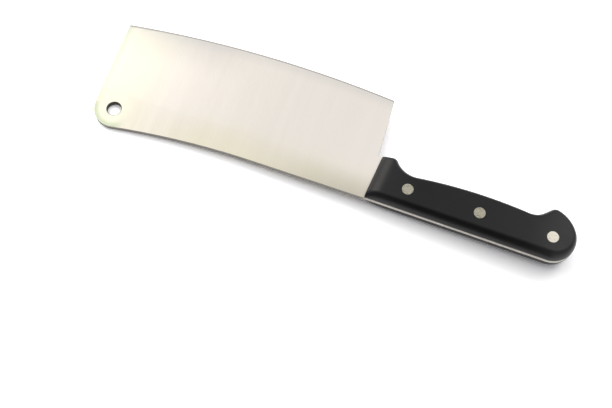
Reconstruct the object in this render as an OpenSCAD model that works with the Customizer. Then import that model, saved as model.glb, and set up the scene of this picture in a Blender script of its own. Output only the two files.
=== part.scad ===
// Full-tang chopping knife lying on its side, in millimetres.
// +X runs from the blade tip to the handle butt, +Y from the spine to the cutting edge and +Z upwards.
// The origin is at the middle of the length and of the height, on the plane the handle lies on.

/* [Whole knife] */
// Length from the tip corner of the cutting edge to the end of the butt
total_l = 277.9; // [250:0.1:300]
// Distance from the middle rivet to the end of the butt
butt_reach = 53.4; // [50:0.1:60]

/* [Blade] */
// Thickness of the plate the blade and tang are cut from
plate_t = 3; // [2:0.1:5]
// Height from the straight spine to the crest of the cutting edge
blade_h = 65.5; // [55:0.5:80]
// Distance from the middle rivet back to the crest of the cutting edge
crest_back = 124.5; // [110:1:140]
// Radius of the curved cutting edge
edge_r = 661; // [450:1:1200]
// How far the tip corner drops below the straight spine
tip_drop = 7.4; // [4:0.1:14]
// Radius of the hollow curve in the spine
spine_r = 470; // [300:1:700]
// Radius of the round corner between the spine and the tip
corner_r = 12; // [9:0.1:14]
// Lean of the tip line from square
tip_lean = 2.5; // [0:0.1:6]
// Distance from the middle rivet back to the foot of the heel line
heel_back = 60.2; // [58:0.1:70]
// Lean of the heel line from square
heel_lean = 3.2; // [0:0.1:6]
// Height above the spine where the flat grind of each face starts
grind_from = 14; // [10:0.5:30]
// Thickness left at the crest by the flat grind
ground_t = 0.8; // [0.5:0.1:1.5]
// Half angle of the sharpened bevel
bevel_a = 18; // [12:0.5:25]
// Thickness of the cutting edge itself
edge_t = 0.15; // [0.1:0.05:0.3]
// Diameter of the hanging hole
hang_d = 8; // [5:0.1:10]
// Width of the bevel round each end of the hanging hole
hang_rim = 0.3; // [0.1:0.1:0.6]
// How far the hanging hole sits from the centre of the round corner towards the tip
hang_out = 0.5; // [0:0.1:3]
// How far the hanging hole sits from the centre of the round corner towards the spine
hang_down = 0.9; // [0:0.1:3]

/* [Handle outline] */
// Distance from the middle rivet back to the foot of the front of the handle
front_back = 61.1; // [59:0.1:65]
// Lean of the front of the handle from square
front_lean = 4.6; // [0:0.1:8]
// How far the straight side is set in from the spine line at the front of the handle
base_in = 0.4; // [0:0.1:1]
// Lean of the straight side away from the spine line towards the butt
base_lean = 0.7; // [0:0.1:2]
// Height of the finger guard above the spine
guard_h = 26.6; // [24:0.1:30]
// Distance from the middle rivet back to the centre of the guard's round corner
guard_back = 52.8; // [50:0.1:56]
// Radius of the guard's round corner
guard_r = 4; // [4:0.1:6]
// Direction the guard's flank faces, from +X
guard_flank_a = 38.7; // [35:0.1:55]
// Straight length of the guard's flank
guard_flank_l = 0.6; // [0.5:0.1:4]
// Radius of the front waist
front_waist_r = 13.5; // [10:0.1:18]
// Radius of the swell between the two waists
belly_r = 270; // [150:1:600]
// Radius of the rear waist
rear_waist_r = 9.1; // [7:0.1:14]
// Straight length of the horn's flank
horn_flank_l = 4.3; // [2:0.1:6]
// Direction the horn's flank faces, from +X
horn_flank_a = 134.4; // [125:0.1:140]
// Radius of the round tip of the horn
horn_r = 4.4; // [4:0.1:5]
// Direction from the centre of the butt curve in which it passes into the horn, from +X
horn_a = 76; // [68:0.1:82]
// Radius of the butt curve
butt_r = 19.2; // [18:0.1:28]
// Direction from its centre in which the lower corner passes into the butt curve, from +X
corner_a = 28; // [25:0.1:50]
// Radius of the lower corner of the butt
butt_corner_r = 12.5; // [10:0.1:15]

/* [Handle scales] */
// Thickness of each scale
scale_t = 8; // [6:0.1:10]
// How far the curve of each scale's side comes in from its seat to its outer face
side_in = 3.4; // [2:0.1:3.9]
// Radius of the rounded front
nose_r = 13.6; // [9:0.1:16]
// Height of the upright foot of the front, below the rounding
nose_foot = 3; // [1:0.1:5]

/* [Rivets] */
// Distance between rivets
rivet_pitch = 40; // [36:0.5:42]
// Height of the rivet row above the spine
rivet_h = 9.5; // [9:0.1:11]
// Diameter of the flush heads
head_d = 6.2; // [5.6:0.1:8]
// Thickness of the heads
head_t = 1.6; // [1:0.1:3]
// Outside diameter of the tubular half
tube_d = 4.4; // [4:0.1:5]
// Diameter of the solid half's shank
shank_d = 3; // [2:0.1:3.4]
// Share of the handle's thickness that the shank reaches down the tube
shank_share = 0.6; // [0.4:0.05:0.8]

/* [Fits] */
// Gap all round between parts that are pressed together
press_gap = 0.02; // [0.01:0.01:0.05]
// Gap all round between a tubular rivet half and the holes it passes through
hole_gap = 0.1; // [0.05:0.01:0.2]
// Distance between the end of the tube and the underside of the head above it
tube_gap = 0.4; // [0.2:0.1:1]

/* [Hidden] */

// How far a cut runs past the surface it breaks through
overrun = 2;
// How far one curve passes over its neighbour where the two would only touch
crossing = 0.01;
// How far the blade's plate runs in under the scales
neck_lap = 4;
// Largest turn between neighbouring points of the handle's outline
turn_step = 7.5;
// Steps along the swell, and steps up the curve of the side
belly_steps = 12;
side_steps = 9;
// Smoothness of small and of very large circles
small_fn = 96;
large_fn = 1440;
right_angle = 90;
half = 0.5;

blade_colour = "#d9d7ce";
scale_colour = "#2e2e30";
rivet_colour = "#c3c0b8";

handle_t = plate_t + 2 * scale_t;
seat_z = plate_t * half;
top_z = handle_t * half;
tip_x = butt_reach - total_l;
x_shift = total_l * half - butt_reach;
y_shift = (tip_drop - blade_h) * half;

function along(a) = [cos(a), sin(a)];
function steps(turn) = max(2, ceil(abs(turn) / turn_step));
// Points round a curve up to its last one, which the next curve starts on, and the same with it
function arc(c, r, a0, a1, n) = [for (i = [0 : n - 1]) c + r * along(a0 + (a1 - a0) * i / n)];
function arc_end(c, r, a0, a1, n) = concat(arc(c, r, a0, a1, n), [c + r * along(a1)]);
function facing(a, b) = atan2(b[1] - a[1], b[0] - a[0]);

// Blade curves
crest = [-crest_back, blade_h - edge_r];
tip_y = crest[1] + sqrt(edge_r * edge_r - pow(tip_x - crest[0], 2));
corner_y = corner_r - tip_drop;
corner = [tip_x + (tip_y - corner_y) * tan(tip_lean) + corner_r / cos(tip_lean), corner_y];
spine_x = corner[0] + sqrt(pow(spine_r + corner_r, 2) - pow(corner_y + spine_r, 2));
spine = [spine_x, -spine_r];
to_spine = along(facing(corner, spine));
hang = corner - [hang_out, hang_down];
function tip_at(y) = [tip_x + (tip_y - y) * tan(tip_lean), y];
function heel_at(y) = [-heel_back - y * tan(heel_lean), y];
function front_at(y) = [-front_back + y * tan(front_lean), y];
function base_at(x, inset) = [x, base_in - (x + front_back) * tan(base_lean) + inset / cos(base_lean)];
// Foot of the front edge, where the leaning front meets the straight side
function front_foot(inset) =
    front_at(base_at(-front_back, inset)[1] / (1 + tan(front_lean) * tan(base_lean)));

// Handle curves, each passing smoothly into the next, from the lower corner round to the guard
butt_low = base_at(butt_reach - butt_corner_r, butt_corner_r);
butt_start_a = -right_angle - base_lean;
butt = butt_low + (butt_corner_r - butt_r) * along(corner_a);
horn = butt + (butt_r - horn_r) * along(horn_a);
rear_waist = horn + (horn_r + rear_waist_r) * along(horn_flank_a)
    + horn_flank_l * along(horn_flank_a + right_angle);
guard = [-guard_back, guard_h - guard_r];
front_waist = guard + (guard_r + front_waist_r) * along(guard_flank_a)
    + guard_flank_l * along(guard_flank_a - right_angle);
waist_span = norm(rear_waist - front_waist);
front_side = belly_r + front_waist_r;
rear_side = belly_r + rear_waist_r;
waist_turn = acos((pow(front_side, 2) + pow(waist_span, 2) - pow(rear_side, 2))
    / (2 * front_side * waist_span));
belly = front_waist + front_side * along(facing(front_waist, rear_waist) - waist_turn);
rear_a = facing(belly, rear_waist);
front_a = facing(belly, front_waist);

// The outline drawn a distance in from the handle's widest edge, in three runs that each face one foot
// point on the straight side: round the butt, over the swell and round the guard
function butt_run(inset) = concat(
    arc(butt_low, butt_corner_r - inset, butt_start_a, corner_a, steps(corner_a - butt_start_a)),
    arc(butt, butt_r - inset, corner_a, horn_a, steps(horn_a - corner_a)),
    arc_end(horn, horn_r - inset, horn_a, horn_flank_a, steps(horn_flank_a - horn_a)),
    arc(rear_waist, -rear_waist_r - inset, horn_flank_a, rear_a, steps(horn_flank_a - rear_a))
);
function swell_run(inset) = arc(belly, belly_r - inset, rear_a, front_a, belly_steps);
function guard_run(inset) = concat(
    arc_end(front_waist, -front_waist_r - inset, front_a, guard_flank_a, steps(front_a - guard_flank_a)),
    arc_end(guard, guard_r - inset, guard_flank_a, right_angle, steps(right_angle - guard_flank_a)),
    [front_at(guard_h - inset)]
);
function feet(inset) = [
    front_foot(inset),
    base_at(-rivet_pitch * half, inset),
    base_at(rivet_pitch * half, inset)
];
function outline(inset) = concat(feet(inset), butt_run(inset), swell_run(inset), guard_run(inset));

// Inset and height of each level up a scale's side: a quarter of an ellipse, upright at the seat and level
// with the outer face at its end
levels = [for (i = [0 : side_steps])
    let (a = right_angle * i / side_steps)
    [side_in * (1 - cos(a)), seat_z + scale_t * sin(a)]];

// One module places everything: drawn about the middle rivet and the plate's middle plane, then moved
module place() {
    translate([x_shift, y_shift, top_z]) children();
}

module blade_outline() {
    difference() {
        intersection() {
            union() {
                polygon([
                    tip_at(blade_h + overrun), tip_at(corner_y - corner_r * sin(tip_lean)),
                    corner, corner + (corner_r + overrun) * to_spine,
                    [spine_x, -tip_drop - overrun], [spine_x, 0], [-heel_back, 0], heel_at(blade_h + overrun)
                ]);
                translate(corner) circle(corner_r + crossing, $fn = small_fn);
                polygon([
                    [spine_x, 0], front_at(0), front_at(0) + [neck_lap, neck_lap],
                    front_at(guard_h) + [neck_lap, 0], heel_at(guard_h) - [neck_lap, 0]
                ]);
            }
            translate(crest) circle(edge_r, $fn = large_fn);
        }
        translate(spine) circle(spine_r + crossing, $fn = large_fn);
    }
}

// Space inside the flat grinds, seen along the blade
module grind_section() {
    top_y = blade_h + overrun;
    fall = (plate_t - ground_t) * half / (blade_h - grind_from);
    top_t = plate_t * half - fall * (top_y - grind_from);
    low_y = -tip_drop - overrun;
    polygon([
        [low_y, -seat_z], [grind_from, -seat_z], [top_y, -top_t],
        [top_y, top_t], [grind_from, seat_z], [low_y, seat_z]
    ]);
}

// Space inside the upper sharpened bevel, which follows the curved edge
module bevel_half() {
    rise = plate_t;
    translate([0, 0, edge_t * half])
        cylinder(h = rise, r1 = edge_r, r2 = edge_r - rise / tan(bevel_a), $fn = large_fn);
    cylinder(h = edge_t * half, r = edge_r, $fn = large_fn);
}

// Cone that bevels the upper end of the hanging hole
module hang_bevel() {
    translate([hang[0], hang[1], seat_z - hang_rim]) cylinder(
        h = hang_rim + overrun, r1 = hang_d * half, r2 = hang_d * half + hang_rim + overrun, $fn = small_fn
    );
}

module rivet_holes(d, z0, z1) {
    for (i = [-1 : 1])
        translate([i * rivet_pitch, rivet_h, z0]) cylinder(h = z1 - z0, d = d, $fn = small_fn);
}

module blade() {
    color(blade_colour) place() difference() {
        union() {
            intersection() {
                translate([0, 0, -seat_z]) linear_extrude(plate_t) blade_outline();
                translate([tip_x - overrun, 0, 0]) rotate([right_angle, 0, right_angle])
                    linear_extrude(total_l) grind_section();
                translate(crest) union() {
                    bevel_half();
                    mirror([0, 0, 1]) bevel_half();
                }
            }
            translate([0, 0, -seat_z]) linear_extrude(plate_t) polygon(outline(0));
        }
        translate([hang[0], hang[1], -plate_t]) cylinder(h = 2 * plate_t, d = hang_d, $fn = small_fn);
        hang_bevel();
        mirror([0, 0, 1]) hang_bevel();
        rivet_holes(tube_d + 2 * hole_gap, -plate_t, plate_t);
    }
}

// The scale's body: the handle's outline at each level, joined level to level
module scale_body() {
    rings = [for (l = levels) [for (p = outline(l[0])) [p[0], p[1], l[1]]]];
    n = len(rings[0]);
    last = n * (len(rings) - 1);
    swell_at = len(feet(0)) + len(butt_run(0));
    guard_at = swell_at + len(swell_run(0));
    // Each end face is three pieces that meet between the rivets, each spread out from its first point
    ends = [
        [for (i = [2 : swell_at]) i],
        concat([1, 2], [for (i = [swell_at : guard_at]) i]),
        concat([0, 1], [for (i = [guard_at : n - 1]) i])
    ];
    polyhedron(
        points = [for (r = rings) each r],
        faces = concat(
            ends,
            [for (j = [0 : n : last - n]) for (i = [0 : n - 1])
                [j + i, j + n + i, j + n + (i + 1) % n, j + (i + 1) % n]],
            [for (e = ends) [for (i = [len(e) : -1 : 1]) last + e[i % len(e)]]]
        )
    );
}

// Everything ahead of the rounded front
module nose_cut() {
    foot_z = seat_z + nose_foot;
    centre_z = top_z - nose_r + crossing;
    reach = sqrt(pow(nose_r, 2) - pow(foot_z - centre_z, 2));
    translate(front_at(0)) rotate([0, 0, -front_lean])
        translate([0, guard_h + overrun, 0]) rotate([right_angle, 0, 0])
            linear_extrude(guard_h + 2 * overrun) difference() {
                translate([-overrun, foot_z]) square([reach + overrun, top_z + overrun - foot_z]);
                translate([reach, centre_z]) circle(nose_r, $fn = 2 * small_fn);
            }
}

// Lower half of the pair is the upper half turned over
module scale_half() {
    difference() {
        scale_body();
        nose_cut();
        rivet_holes(tube_d + 2 * hole_gap, seat_z - overrun, top_z);
        rivet_holes(head_d + 2 * press_gap, top_z - head_t, top_z + overrun);
    }
}

module scale_upper() {
    color(scale_colour) place() scale_half();
}

module scale_lower() {
    color(scale_colour) place() mirror([0, 0, 1]) scale_half();
}

// Solid half, headed at the upper face
module rivet_male(i) {
    shank_l = handle_t * shank_share;
    color(rivet_colour) place() translate([i * rivet_pitch, rivet_h, top_z - head_t]) {
        cylinder(h = head_t, d = head_d, $fn = small_fn);
        translate([0, 0, -shank_l]) cylinder(h = shank_l, d = shank_d, $fn = small_fn);
    }
}

// Tubular half, headed at the lower face
module rivet_female(i) {
    tube_l = handle_t - head_t - tube_gap;
    bore_l = tube_l - head_t;
    color(rivet_colour) place() translate([i * rivet_pitch, rivet_h, -top_z]) difference() {
        union() {
            cylinder(h = head_t, d = head_d, $fn = small_fn);
            cylinder(h = tube_l, d = tube_d, $fn = small_fn);
        }
        translate([0, 0, head_t]) cylinder(h = bore_l + overrun, d = shank_d + 2 * press_gap, $fn = small_fn);
    }
}

module rivet_front_male() { rivet_male(-1); }
module rivet_front_female() { rivet_female(-1); }
module rivet_middle_male() { rivet_male(0); }
module rivet_middle_female() { rivet_female(0); }
module rivet_rear_male() { rivet_male(1); }
module rivet_rear_female() { rivet_female(1); }

blade();
scale_upper();
scale_lower();
rivet_front_male();
rivet_front_female();
rivet_middle_male();
rivet_middle_female();
rivet_rear_male();
rivet_rear_female();
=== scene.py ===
"""Chopping knife on its side: a ground stainless steel blade and tang, two black scales and three rivets.

Metres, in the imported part's frame: +X from tip to butt, +Y from the spine to the cutting edge, +Z up.
"""
import math

import bmesh
import bpy
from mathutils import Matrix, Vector
from mathutils.geometry import tessellate_polygon


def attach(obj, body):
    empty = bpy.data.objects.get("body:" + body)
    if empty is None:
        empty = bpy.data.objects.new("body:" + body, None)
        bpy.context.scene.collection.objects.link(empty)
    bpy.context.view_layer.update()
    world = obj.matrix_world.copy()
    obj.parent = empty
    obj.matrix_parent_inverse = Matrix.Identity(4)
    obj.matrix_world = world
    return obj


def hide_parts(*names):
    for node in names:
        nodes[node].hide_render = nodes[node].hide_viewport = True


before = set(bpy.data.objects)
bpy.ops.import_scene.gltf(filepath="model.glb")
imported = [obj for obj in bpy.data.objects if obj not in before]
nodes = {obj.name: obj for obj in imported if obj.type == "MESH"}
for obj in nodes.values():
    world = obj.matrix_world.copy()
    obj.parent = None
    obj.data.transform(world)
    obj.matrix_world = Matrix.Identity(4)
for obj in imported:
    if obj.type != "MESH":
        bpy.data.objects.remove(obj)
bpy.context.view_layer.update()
scene = bpy.context.scene
MM = 0.001

# The plane through the middle of the plate, in millimetres
MID_Z = 9.5


def linear(hex_colour):
    """An sRGB hex colour as the linear RGBA that Blender's sockets take."""
    channels = [int(hex_colour[i:i + 2], 16) / 255 for i in (1, 3, 5)]
    return [c / 12.92 if c <= 0.04045 else ((c + 0.055) / 1.055) ** 2.4 for c in channels] + [1.0]


def add(tree, kind, values=None):
    """Adds a node. A value is a property, a socket's number or hex colour, or the output that feeds it."""
    node = tree.nodes.new(kind)
    for name, value in (values or {}).items():
        if isinstance(value, bpy.types.NodeSocket):
            tree.links.new(value, node.inputs[name])
        elif isinstance(name, int) or name in node.inputs:
            node.inputs[name].default_value = linear(value) if isinstance(value, str) else value
        else:
            setattr(node, name, value)
    return node


def new_material(name):
    material = bpy.data.materials.new(name)
    material.use_nodes = True
    material.node_tree.nodes.clear()
    return material, material.node_tree


# ---- camera and studio

# Solved from the photograph: the three rivet heads, the two straight ends of the blade and the tang line.
# The sensor's width is in millimetres and the focal length in pixels of a picture 612 pixels wide.
EYE = Vector((63.85, -230.35, 504.9)) * MM
LOOK_AT = Vector((-4.05, -42.55, MID_Z)) * MM
FRAME_W = 612
FOCAL_PX = 985
SENSOR = 36

camera_data = bpy.data.cameras.new("photo_camera")
camera_data.sensor_width = SENSOR
camera_data.lens = FOCAL_PX / FRAME_W * SENSOR
camera = bpy.data.objects.new("photo_camera", camera_data)
scene.collection.objects.link(camera)
camera.location = EYE
camera.rotation_euler = (LOOK_AT - EYE).to_track_quat("-Z", "Y").to_euler()
scene.camera = camera
scene.view_settings.view_transform = "Standard"


WATTS_PER_AREA = 4


def soft_box(name, azimuth, elevation, distance, size, radiance, in_gloss=True, colour="#ffffff"):
    """A square soft light facing the knife. Its watts give the same brightness at any size."""
    data = bpy.data.lights.new(name, "AREA")
    data.shape = "SQUARE"
    data.size = size
    data.energy = radiance * WATTS_PER_AREA * size * size
    data.color = linear(colour)[:3]
    lamp = bpy.data.objects.new(name, data)
    scene.collection.objects.link(lamp)
    a, e = math.radians(azimuth), math.radians(elevation)
    lamp.location = Vector((math.cos(a) * math.cos(e), math.sin(a) * math.cos(e), math.sin(e))) * distance
    lamp.rotation_euler = (-lamp.location).to_track_quat("-Z", "Y").to_euler()
    lamp.visible_camera = False
    lamp.visible_glossy = in_gloss


# The first two make the soft shadow, on the side away from them, and gloss doesn't see them
soft_box("overhead_soft_box", 105, 70, 1.1, 1.8, 1.1, in_gloss=False)
soft_box("fill_soft_box", 165, 45, 1.1, 1.0, 1.1, in_gloss=False)
soft_box("left_soft_box", 150, 31.5, 1.0, 0.58, 2.85, colour="#fffaee")
soft_box("right_soft_box", 46, 56, 1.0, 0.3, 3.2)

# The knife rests on the front end of its lower scale and on its tip corner, so it lies a little nose down.
# The knife stays level in its own frame and the floor slopes instead.
REST_X, TIP_X, TIP_Z = 33.4 * MM, -138.1 * MM, 8.0 * MM
slope = math.atan2(TIP_Z, REST_X - TIP_X)

reflected_shade, tree = new_material("reflected_shade_grey")
shade_surface = add(tree, "ShaderNodeBsdfDiffuse", {"Color": "#6c6a68"})
add(tree, "ShaderNodeOutputMaterial", {"Surface": shade_surface.outputs[0]})


def dark_card(name, place, turn, size):
    """A dark card that only gloss shows, a painted shade in the reflections: the camera's side of the studio
    is dark.
    """
    bpy.ops.mesh.primitive_grid_add(x_subdivisions=2, y_subdivisions=2, size=1)
    card = bpy.context.object
    card.name = name
    card.scale = (size[0], size[1], 1)
    card.rotation_euler = turn
    card.location = place
    for kind in ("camera", "diffuse", "transmission", "shadow"):
        setattr(card, "visible_" + kind, False)
    card.data.materials.append(reflected_shade)


# One stands behind the camera and one lies before the knife, just over the sloping paper. Both are painted
# shade in the reflections only, and make the black band along the handle's near edge.
LYING_BACK, LYING_OVER = 0.2, 0.0005
lying_z = LYING_BACK * math.sin(slope) + LYING_OVER
dark_card("standing_card", (-0.45, -0.75, 0.455), (math.radians(90), 0, 0), (1.6, 0.9))
dark_card("lying_card", (REST_X - LYING_BACK, -0.41, lying_z), (0, slope, 0), (0.62, 0.72))


def seeing_rays(tree):
    """The light path's outputs, and 1 for the rays of the camera, of gloss and of glass."""
    path = add(tree, "ShaderNodeLightPath").outputs
    either = {"operation": "MAXIMUM", 0: path["Is Camera Ray"], 1: path["Is Glossy Ray"]}
    either = add(tree, "ShaderNodeMath", either).outputs[0]
    any_of = {"operation": "MAXIMUM", 0: either, 1: path["Is Transmission Ray"]}
    return path, add(tree, "ShaderNodeMath", any_of).outputs[0]


# The room is dim. The camera, gloss and glass see it white.
world = bpy.data.worlds.new("studio")
scene.world = world
world.use_nodes = True
tree = world.node_tree
tree.nodes.clear()
ray, seen = seeing_rays(tree)
room = add(tree, "ShaderNodeBackground", {"Color": "#fdfbff", "Strength": 0.37})
white = add(tree, "ShaderNodeBackground", {"Color": "#ffffff", "Strength": 1.0})
shown = add(tree, "ShaderNodeMixShader", {0: seen, 1: room.outputs[0], 2: white.outputs[0]})
add(tree, "ShaderNodeOutputWorld", {"Surface": shown.outputs[0]})


# ---- floor

FLOOR_W = 6
bpy.ops.mesh.primitive_grid_add(x_subdivisions=2, y_subdivisions=2, size=FLOOR_W)
floor = bpy.context.object
floor.name = "studio_floor"
floor.rotation_euler = (0, slope, 0)
floor.location = (REST_X, 0, 0)

material, tree = new_material("white_studio_paper")
ray, seen = seeing_rays(tree)
shade = add(tree, "ShaderNodeMix", {"data_type": "RGBA", "Factor": seen, 6: "#e8e8e8", 7: "#ffffff"})
# The photograph is over-exposed, so the paper clips to white a little way off from the knife's shadow
EXPOSURE = 1.25
clipping = [EXPOSURE] * 3 + [1.0]
bright = {"data_type": "RGBA", "Factor": ray["Is Camera Ray"], 6: shade.outputs[2], 7: clipping}
bright = add(tree, "ShaderNodeMix", bright)
paper = add(tree, "ShaderNodeBsdfDiffuse", {"Color": bright.outputs[2]})
add(tree, "ShaderNodeOutputMaterial", {"Surface": paper.outputs[0]})
floor.data.materials.append(material)


# ---- materials

# In each material the patterns are noise, their features as long in millimetres as the table says along X,
# Y and Z. The amounts take a pattern, or a place in metres, smoothly from one range to another, and the tints
# go on in turn.

# Stainless steel plate: bright and faintly warm, ground across the blade from spine to edge, so it has fine
# streaks that way. The cut edges (spine, tip, heel and hole) are coarser than the faces, and darker: partly
# their own finish and partly a painted shade for the shadowed paper they reflect. The tang's edge was
# polished with the handle.
steel, tree = new_material("ground_stainless_steel")
place = add(tree, "ShaderNodeTexCoord").outputs["Object"]
where = add(tree, "ShaderNodeSeparateXYZ", {"Vector": place}).outputs
normal = add(tree, "ShaderNodeNewGeometry").outputs["True Normal"]
facing = add(tree, "ShaderNodeSeparateXYZ", {"Vector": normal}).outputs
upright = add(tree, "ShaderNodeMath", {"operation": "ABSOLUTE", 0: facing["Z"]}).outputs[0]
# The real grinding lines are about 0.05 mm wide, finer than a pixel, so they are drawn 1.2 mm wide
pattern = {}
for name, size, detail in (
        ("lines", (1.2, 45, 45), 1.0),
        ("streaks", (7, 160, 160), 1.0),
        ("cloud", (45, 30, 30), 1.0),
        ("saw marks", (1.2, 1.2, 0.3), 3.0)):
    scaled = {"Vector": place, "Scale": [1 / (length * MM) for length in size]}
    scaled = add(tree, "ShaderNodeMapping", scaled)
    noise = {"Vector": scaled.outputs[0], "Scale": 1.0, "Detail": detail}
    pattern[name] = add(tree, "ShaderNodeTexNoise", noise).outputs[0]
# Distances in plan from the middle of the cutting edge's curve, of the round corner and of the hanging hole
level = add(tree, "ShaderNodeVectorMath", {"operation": "MULTIPLY", 0: place, 1: (1, 1, 0)}).outputs[0]
far = {}
for name, x, y in (("edge", -38.95, -624.55), ("corner", -124.6, -24.45), ("hole", -125.11, -25.35)):
    away = {"operation": "DISTANCE", 0: level, 1: (x * MM, y * MM, 0)}
    far[name] = add(tree, "ShaderNodeVectorMath", away).outputs["Value"]
# The border of the spineward shade wanders by up to this much, in metres
WANDER = 0.012
uneven = {"operation": "MULTIPLY_ADD", 0: pattern["cloud"], 1: WANDER, 2: where["Y"]}
uneven_y = add(tree, "ShaderNodeMath", uneven).outputs[0]
over_middle = {"operation": "SUBTRACT", 0: where["Z"], 1: MID_Z * MM}
over_middle = add(tree, "ShaderNodeMath", over_middle).outputs[0]
off_middle = add(tree, "ShaderNodeMath", {"operation": "ABSOLUTE", 0: over_middle}).outputs[0]
amount = {}
for name, value, low, high, at_low, at_high in (
        ("flat", upright, 0.55, 0.8, 0.0, 1.0),
        ("lines", pattern["lines"], 0.3, 0.7, 0.0, 0.07),
        ("streaks", pattern["streaks"], 0.35, 0.65, 0.0, 0.06),
        ("saw marks", pattern["saw marks"], 0.35, 0.7, 0.0, 0.5),
        ("roughness", pattern["lines"], 0.3, 0.7, 0.41, 0.46),
        ("spineward", uneven_y, -0.024, 0.0, 1.0, 0.0),
        ("off the tip", where["X"], -0.11, -0.07, 0.3, 1.0),
        ("heelward", where["X"], -0.05, 0.02, 0.0, 0.6),
        ("by the spine", where["Y"], -0.0305, -0.012, 1.0, 0.0),
        ("corner", far["corner"], 0.008, 0.0115, 0.0, 0.85),
        ("corner side", where["Y"], -0.026, -0.022, 1.0, 0.0),
        ("corner end", where["X"], -0.122, -0.115, 1.0, 0.0),
        ("tip", where["X"], -0.1389, -0.1346, 0.85, 0.0),
        ("edge strip", far["edge"], 0.6525, 0.6595, 0.0, 0.2),
        ("edgeward", far["edge"], 0.635, 0.66, 0.0, 0.4),
        ("off the heel", where["X"], -0.1, -0.05, 1.0, 0.0),
        ("tipward", where["X"], -0.139, -0.09, 0.5, 0.0),
        ("round the hole", far["hole"], 0.006, 0.012, 0.5, 0.0),
        ("bevel", far["edge"], 0.6597, 0.6602, 0.0, 1.0),
        ("hole", far["hole"], 0.0042, 0.0045, 1.0, 0.0),
        ("tang", where["X"], 0.0232, 0.0257, 0.0, 1.0),
        ("joint", off_middle, 0.0010, 0.0014, 0.0, 0.8)):
    span = {"Value": value, "From Min": low, "From Max": high, "To Min": at_low, "To Max": at_high}
    amount[name] = add(tree, "ShaderNodeMapRange", span | {"interpolation_type": "SMOOTHSTEP"}).outputs[0]
for operation, name, other in (
        ("MULTIPLY", "spineward", "off the tip"),
        ("MULTIPLY", "edgeward", "off the heel"),
        ("MULTIPLY", "heelward", "by the spine"),
        ("MULTIPLY", "corner", "corner side"),
        ("MULTIPLY", "corner", "corner end"),
        ("MAXIMUM", "tip", "corner"),
        ("MULTIPLY", "joint", "tang")):
    both = {"operation": operation, 0: amount[name], 1: amount[other]}
    amount[name] = add(tree, "ShaderNodeMath", both).outputs[0]
# Towards the spine the colour turns greener and a little darker. Near the spine towards the heel it is
# painted darker, a painted shade for the dim reflection there, and towards the tip a painted warm tint stands
# for the warm highlight. The tip and the round corner carry a painted greenish reflection, and round the hole
# a paler one. The honed bevel is painted dark, a painted shade for what it reflects; the strip behind it is
# darker and greyer.
face = "#e0dad3"
for name, tint in (
        ("spineward", "#dcd6c3"),
        ("lines", "#b7b0a6"),
        ("streaks", "#f4efe9"),
        ("heelward", "#aaa598"),
        ("tipward", "#dedabf"),
        ("round the hole", "#e2e6d2"),
        ("tip", "#bcc7ad"),
        ("edgeward", "#aaabac"),
        ("edge strip", "#aaabac"),
        ("bevel", "#aca8a4")):
    tinted = {"data_type": "RGBA", "Factor": amount[name], 6: face, 7: tint}
    face = add(tree, "ShaderNodeMix", tinted).outputs[2]
side = "#8d8a86"
# The tang's edge is dark along both rims, where it meets the plastic
for name, tint in (("tang", "#e0dbd2"), ("joint", "#3a3836"), ("saw marks", "#827d75")):
    tinted = {"data_type": "RGBA", "Factor": amount[name], 6: side, 7: tint}
    side = add(tree, "ShaderNodeMix", tinted).outputs[2]
# The drilled hole and its bevel are rough, and painted dark: a painted shade for the shade inside the hole
colour = add(tree, "ShaderNodeMix", {"data_type": "RGBA", "Factor": amount["flat"], 6: side, 7: face})
drilled = {"data_type": "RGBA", "Factor": amount["hole"], 6: colour.outputs[2], 7: "#46443e"}
colour = add(tree, "ShaderNodeMix", drilled)
# The faces are this much smoother than the cut edges
SMOOTHER = -0.12
dull = {"operation": "MULTIPLY_ADD", 0: amount["flat"], 1: SMOOTHER, 2: amount["roughness"]}
dull = add(tree, "ShaderNodeMath", dull)
bump = add(tree, "ShaderNodeBump", {"Strength": 0.25, "Distance": 0.00002, "Height": pattern["lines"]})
surface = add(tree, "ShaderNodeBsdfPrincipled", {
    "Metallic": 1.0, "Base Color": colour.outputs[2], "Roughness": dull.outputs[0],
    "Normal": bump.outputs[0]})
add(tree, "ShaderNodeOutputMaterial", {"Surface": surface.outputs[0]})

# Moulded plastic: near black, satin, with a fine grain and faint rubbed patches where a hand holds it
plastic, tree = new_material("moulded_black_plastic")
place = add(tree, "ShaderNodeTexCoord").outputs["Object"]
where = add(tree, "ShaderNodeSeparateXYZ", {"Vector": place}).outputs
# The real grain is about 0.1 mm, finer than a pixel, so it is drawn 0.5 mm
pattern = {}
for name, size, detail, roughness in (
        ("grain", (0.5, 0.5, 0.5), 2.0, 0.6),
        ("rubbed", (18, 9, 9), 3.0, 0.5),
        ("scuffs", (6, 0.5, 0.5), 2.0, 0.5)):
    scaled = {"Vector": place, "Scale": [1 / (length * MM) for length in size]}
    scaled = add(tree, "ShaderNodeMapping", scaled)
    noise = {"Vector": scaled.outputs[0], "Scale": 1.0, "Detail": detail, "Roughness": roughness}
    pattern[name] = add(tree, "ShaderNodeTexNoise", noise).outputs[0]
amount = {}
for name, value, low, high, at_low, at_high in (
        ("grain", pattern["grain"], 0.35, 0.65, 0.0, 0.5),
        ("grain roughness", pattern["grain"], 0.3, 0.7, -0.02, 0.02),
        ("roughness", pattern["rubbed"], 0.35, 0.65, 0.31, 0.37),
        ("scuffs", pattern["scuffs"], 0.66, 0.74, 0.0, 0.35),
        ("front", where["X"], 0.03, 0.055, 1.0, 0.0),
        ("butt", where["X"], 0.11, 0.13, 0.0, 1.0)):
    span = {"Value": value, "From Min": low, "From Max": high, "To Min": at_low, "To Max": at_high}
    amount[name] = add(tree, "ShaderNodeMapRange", span | {"interpolation_type": "SMOOTHSTEP"}).outputs[0]
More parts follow.
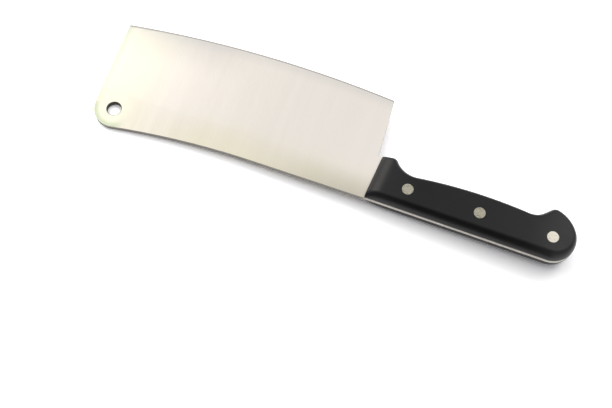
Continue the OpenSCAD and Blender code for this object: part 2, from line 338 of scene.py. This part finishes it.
# The front end is painted a little paler, a painted spread of the nose's highlight. The butt is paler too:
# partly rubbed wear, partly a painted sheen
colour = "#0a0a0b"
for name, tint in (("grain", "#121213"), ("front", "#18181a"), ("butt", "#1d1c1d"), ("scuffs", "#2b2b2c")):
    tinted = {"data_type": "RGBA", "Factor": amount[name], 6: colour, 7: tint}
    colour = add(tree, "ShaderNodeMix", tinted).outputs[2]
dull = {"operation": "ADD", 0: amount["roughness"], 1: amount["grain roughness"]}
dull = add(tree, "ShaderNodeMath", dull)
bump = add(tree, "ShaderNodeBump", {"Strength": 0.3, "Distance": 0.00003, "Height": pattern["grain"]})
surface = add(tree, "ShaderNodeBsdfPrincipled", {
    "IOR": 1.49, "Specular IOR Level": 0.2, "Base Color": colour, "Roughness": dull.outputs[0],
    "Normal": bump.outputs[0]})
add(tree, "ShaderNodeOutputMaterial", {"Surface": surface.outputs[0]})

# Rivet steel: greyer than the blade and mottled, as it was ground flush together with the plastic
rivet, tree = new_material("flush_ground_rivet_steel")
place = add(tree, "ShaderNodeTexCoord").outputs["Object"]
where = add(tree, "ShaderNodeSeparateXYZ", {"Vector": place}).outputs
pattern = {}
for name, size, roughness in (("mottle", (0.75, 0.75, 0.75), 0.6), ("scratches", (5, 0.4, 2), 0.5)):
    scaled = {"Vector": place, "Scale": [1 / (length * MM) for length in size]}
    scaled = add(tree, "ShaderNodeMapping", scaled)
    noise = {"Vector": scaled.outputs[0], "Scale": 1.0, "Detail": 2.0, "Roughness": roughness}
    pattern[name] = add(tree, "ShaderNodeTexNoise", noise).outputs[0]
amount = {}
for name, value, low, high, at_low, at_high in (
        ("middle", where["X"], 0.055, 0.075, 0.0, 1.0),
        ("rear", where["X"], 0.095, 0.115, 0.0, 1.0),
        ("mottle", pattern["mottle"], 0.35, 0.65, 0.0, 0.35),
        ("roughness", pattern["mottle"], 0.3, 0.7, 0.27, 0.36),
        ("scratches", pattern["scratches"], 0.55, 0.7, 0.0, 0.5)):
    span = {"Value": value, "From Min": low, "From Max": high, "To Min": at_low, "To Max": at_high}
    amount[name] = add(tree, "ShaderNodeMapRange", span | {"interpolation_type": "SMOOTHSTEP"}).outputs[0]
# The middle rivet is painted darker and the rear one brighter: painted reflections, of a dimmer part of the
# studio and of the right-hand lamp
colour = "#959182"
for name, tint in (
        ("middle", "#7f7b6b"),
        ("rear", "#a19d93"),
        ("mottle", "#c3beb0"),
        ("scratches", "#7d796e")):
    tinted = {"data_type": "RGBA", "Factor": amount[name], 6: colour, 7: tint}
    colour = add(tree, "ShaderNodeMix", tinted).outputs[2]
bump = add(tree, "ShaderNodeBump", {"Strength": 0.3, "Distance": 0.00002, "Height": pattern["scratches"]})
surface = add(tree, "ShaderNodeBsdfPrincipled", {
    "Metallic": 1.0, "Base Color": colour, "Roughness": amount["roughness"], "Normal": bump.outputs[0]})
add(tree, "ShaderNodeOutputMaterial", {"Surface": surface.outputs[0]})

for name, node in nodes.items():
    node.data.materials.clear()
    node.data.materials.append(steel if name == "blade" else plastic if name.startswith("scale") else rivet)


# ---- handle scales

# The same sizes as the part, in millimetres and degrees: x from the middle rivet to the butt, y from the
# spine line, and SHIFT takes them to the part's frame. The thickness and the reach of the butt are a hair
# less, so that the smooth curves stay inside the solid part's box.
SHIFT = (85.55, -29.05, MID_Z)
SEAT_Z, SCALE_T, SIDE_IN, NOSE_R, NOSE_FOOT = 1.5, 7.995, 3.4, 13.6, 3.0
NOSE_REACH = math.sqrt(NOSE_R ** 2 - (NOSE_R - SCALE_T + NOSE_FOOT) ** 2)
FRONT_X, FRONT_LEAN = -61.1, math.radians(4.6)
BASE_IN, BASE_LEAN = 0.4, math.radians(0.7)
BUTT_REACH, CORNER_R, CORNER_A, BUTT_R = 53.39, 12.5, 28.0, 19.2
HORN_A, HORN_R, HORN_FLANK_A, HORN_FLANK_L, REAR_WAIST_R = 76.0, 4.4, 134.4, 4.3, 9.1
BELLY_R, FRONT_WAIST_R = 270.0, 13.5
GUARD_FLANK_A, GUARD_FLANK_L, GUARD_R, GUARD_H, GUARD_X = 38.7, 0.6, 4.0, 26.6, -52.8
RIVET_PITCH, RIVET_Y, HEAD_HOLE_R, HEAD_T, SHANK_HOLE_R = 40.0, 9.5, 3.12, 1.6, 2.3
SIDE_STEPS, NOSE_STEPS, HOLE_STEPS = 20, 18, 48
TURN_STEP, BELLY_TURN_STEP = 2.0, 0.4
SEAT_XS = range(-45, 40, 5)
# Each rivet's hole from the outer face inward: wide for the head, then narrow down to the tang
HEAD_SEAT_Z = SCALE_T - HEAD_T
HOLE_LEVELS = (
    (HEAD_HOLE_R, SCALE_T), (HEAD_HOLE_R, HEAD_SEAT_Z), (SHANK_HOLE_R, HEAD_SEAT_Z), (SHANK_HOLE_R, 0))


def along(angle):
    return Vector((math.cos(math.radians(angle)), math.sin(math.radians(angle))))


def facing_angle(start, end):
    return math.degrees(math.atan2(end[1] - start[1], end[0] - start[0]))


def curve(centre, radius, start, end, turn_step=TURN_STEP):
    """Points round a curve, from angle to angle."""
    steps = math.ceil(abs(end - start) / turn_step)
    return [centre + along(start + (end - start) * i / steps) * radius for i in range(steps + 1)]


def base_point(x, inset):
    return Vector((x, BASE_IN - (x - FRONT_X) * math.tan(BASE_LEAN) + inset / math.cos(BASE_LEAN)))


def behind_front(point):
    """How far a point lies behind the leaning front edge."""
    return (point[0] - FRONT_X) * math.cos(FRONT_LEAN) - point[1] * math.sin(FRONT_LEAN)


low = base_point(BUTT_REACH - CORNER_R, CORNER_R)
butt = low + along(CORNER_A) * (CORNER_R - BUTT_R)
horn = butt + along(HORN_A) * (BUTT_R - HORN_R)
rear_waist = horn + along(HORN_FLANK_A) * (HORN_R + REAR_WAIST_R) + along(HORN_FLANK_A + 90) * HORN_FLANK_L
guard = Vector((GUARD_X, GUARD_H - GUARD_R))
front_waist = guard + along(GUARD_FLANK_A) * (GUARD_R + FRONT_WAIST_R)
front_waist += along(GUARD_FLANK_A - 90) * GUARD_FLANK_L
span = (rear_waist - front_waist).length
front_side, rear_side = BELLY_R + FRONT_WAIST_R, BELLY_R + REAR_WAIST_R
turn = math.degrees(math.acos((front_side ** 2 + span ** 2 - rear_side ** 2) / (2 * front_side * span)))
belly = front_waist + along(facing_angle(front_waist, rear_waist) - turn) * front_side
rear_a, front_a = facing_angle(belly, rear_waist), facing_angle(belly, front_waist)


def far_side(inset):
    """The outline a distance in from the widest edge, from the butt by the swell and guard to the front."""
    points = curve(low, CORNER_R - inset, -90 - math.degrees(BASE_LEAN), CORNER_A)
    points += curve(butt, BUTT_R - inset, CORNER_A, HORN_A)[1:]
    points += curve(horn, HORN_R - inset, HORN_A, HORN_FLANK_A)[1:]
    points += curve(rear_waist, -REAR_WAIST_R - inset, HORN_FLANK_A, rear_a)
    points += curve(belly, BELLY_R - inset, rear_a, front_a, BELLY_TURN_STEP)[1:]
    points += curve(front_waist, -FRONT_WAIST_R - inset, front_a, GUARD_FLANK_A)[1:]
    points += curve(guard, GUARD_R - inset, GUARD_FLANK_A, 90)
    corner = points[-1]
    deep = behind_front(corner)
    for i in range(1, NOSE_STEPS + 1):
        back = deep * (1 - i / NOSE_STEPS)
        points.append(corner - Vector(((deep - back) / math.cos(FRONT_LEAN), 0)))
    return points


# Places along the straight side that face the far side's points across the rounded front
nose_backs = []
for point in reversed(far_side(SIDE_IN)):
    nose_backs.append(behind_front(point))
    if nose_backs[-1] >= NOSE_REACH:
        break
nose_n = len(nose_backs) - 1


def near_side(inset):
    """The straight side a distance in from the widest edge, from the front towards the butt."""
    points = []
    rise = BASE_IN + inset / math.cos(BASE_LEAN)
    lean = math.tan(FRONT_LEAN)
    for back in nose_backs:
        reach = (back / math.cos(FRONT_LEAN) + rise * lean) / (1 + math.tan(BASE_LEAN) * lean)
        points.append(base_point(FRONT_X + reach, inset))
    return points + [base_point(x, inset) for x in SEAT_XS]


def scale_piece(name, slot_node, up):
    """One scale: its sides curve in like a quarter of an ellipse and its front rolls down to its foot."""
    mesh = bmesh.new()

    def vertex(point, height):
        ahead = max(NOSE_REACH - behind_front(point), 0.0)
        z = SEAT_Z + height * (1 - (NOSE_R - math.sqrt(NOSE_R ** 2 - ahead ** 2)) / SCALE_T)
        return mesh.verts.new(Vector((point[0] + SHIFT[0], point[1] + SHIFT[1], up * z + SHIFT[2])) * MM)

    def face(corners, smooth):
        made = mesh.faces.new(corners if up > 0 else list(reversed(corners)))
        made.smooth = smooth

    rings = []
    for step in range(SIDE_STEPS + 1):
        a = math.pi / 2 * step / SIDE_STEPS
        inset = SIDE_IN * (1 - math.cos(a))
        rings.append([vertex(point, SCALE_T * math.sin(a)) for point in near_side(inset) + far_side(inset)])
    count = len(rings[0])
    for lower, upper in zip(rings, rings[1:]):
        for i in range(count - 1):
            face([lower[i], lower[i + 1], upper[i + 1], upper[i]], True)
    top = rings[-1]
    for i in range(nose_n):
        face([top[i], top[i + 1], top[count - 2 - i], top[count - 1 - i]], True)

    front = [ring[0] for ring in rings] + [ring[-1] for ring in reversed(rings)]
    face(list(reversed(front)), False)

    # The holes. The step under the head is flat, the walls are round.
    loops = {"top": [], "seat": []}
    for i in (-1, 0, 1):
        centre = Vector((i * RIVET_PITCH, RIVET_Y))
        stack = []
        for radius, z in HOLE_LEVELS:
            circle = [centre + along(360 * k / HOLE_STEPS) * radius for k in range(HOLE_STEPS)]
            stack.append([vertex(point, z) for point in circle])
        for above, below, is_wall in zip(stack, stack[1:], (True, False, True)):
            for k in range(HOLE_STEPS):
                nxt = (k + 1) % HOLE_STEPS
                face([above[k], above[nxt], below[nxt], below[k]], is_wall)
        loops["top"].append(stack[0])
        loops["seat"].append(stack[-1])

    # The flat outer face and the seat, filled round the holes
    outer = top[nose_n:count - nose_n]
    for rim, holes, downward in ((outer, loops["top"], False), (rings[0], loops["seat"], True)):
        corners = rim + [corner for hole in holes for corner in hole]
        loop_points = [[corner.co.copy() for corner in loop] for loop in [rim] + holes]
        for triangle in tessellate_polygon(loop_points):
            three = [corners[k] for k in triangle]
            wide = (three[1].co - three[0].co).cross(three[2].co - three[0].co)
            if wide.length == 0:
                continue
            if (wide.z < 0) != (downward == (up > 0)):
                three.reverse()
            made = mesh.faces.new(three)
            made.smooth = False

    data = bpy.data.meshes.new(name)
    mesh.to_mesh(data)
    mesh.free()
    data.materials.append(plastic)
    piece = bpy.data.objects.new(name, data)
    scene.collection.objects.link(piece)
    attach(piece, "root")
    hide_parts(slot_node)


scale_piece("moulded_scale_upper", "scale_upper", 1)
scale_piece("moulded_scale_lower", "scale_lower", -1)
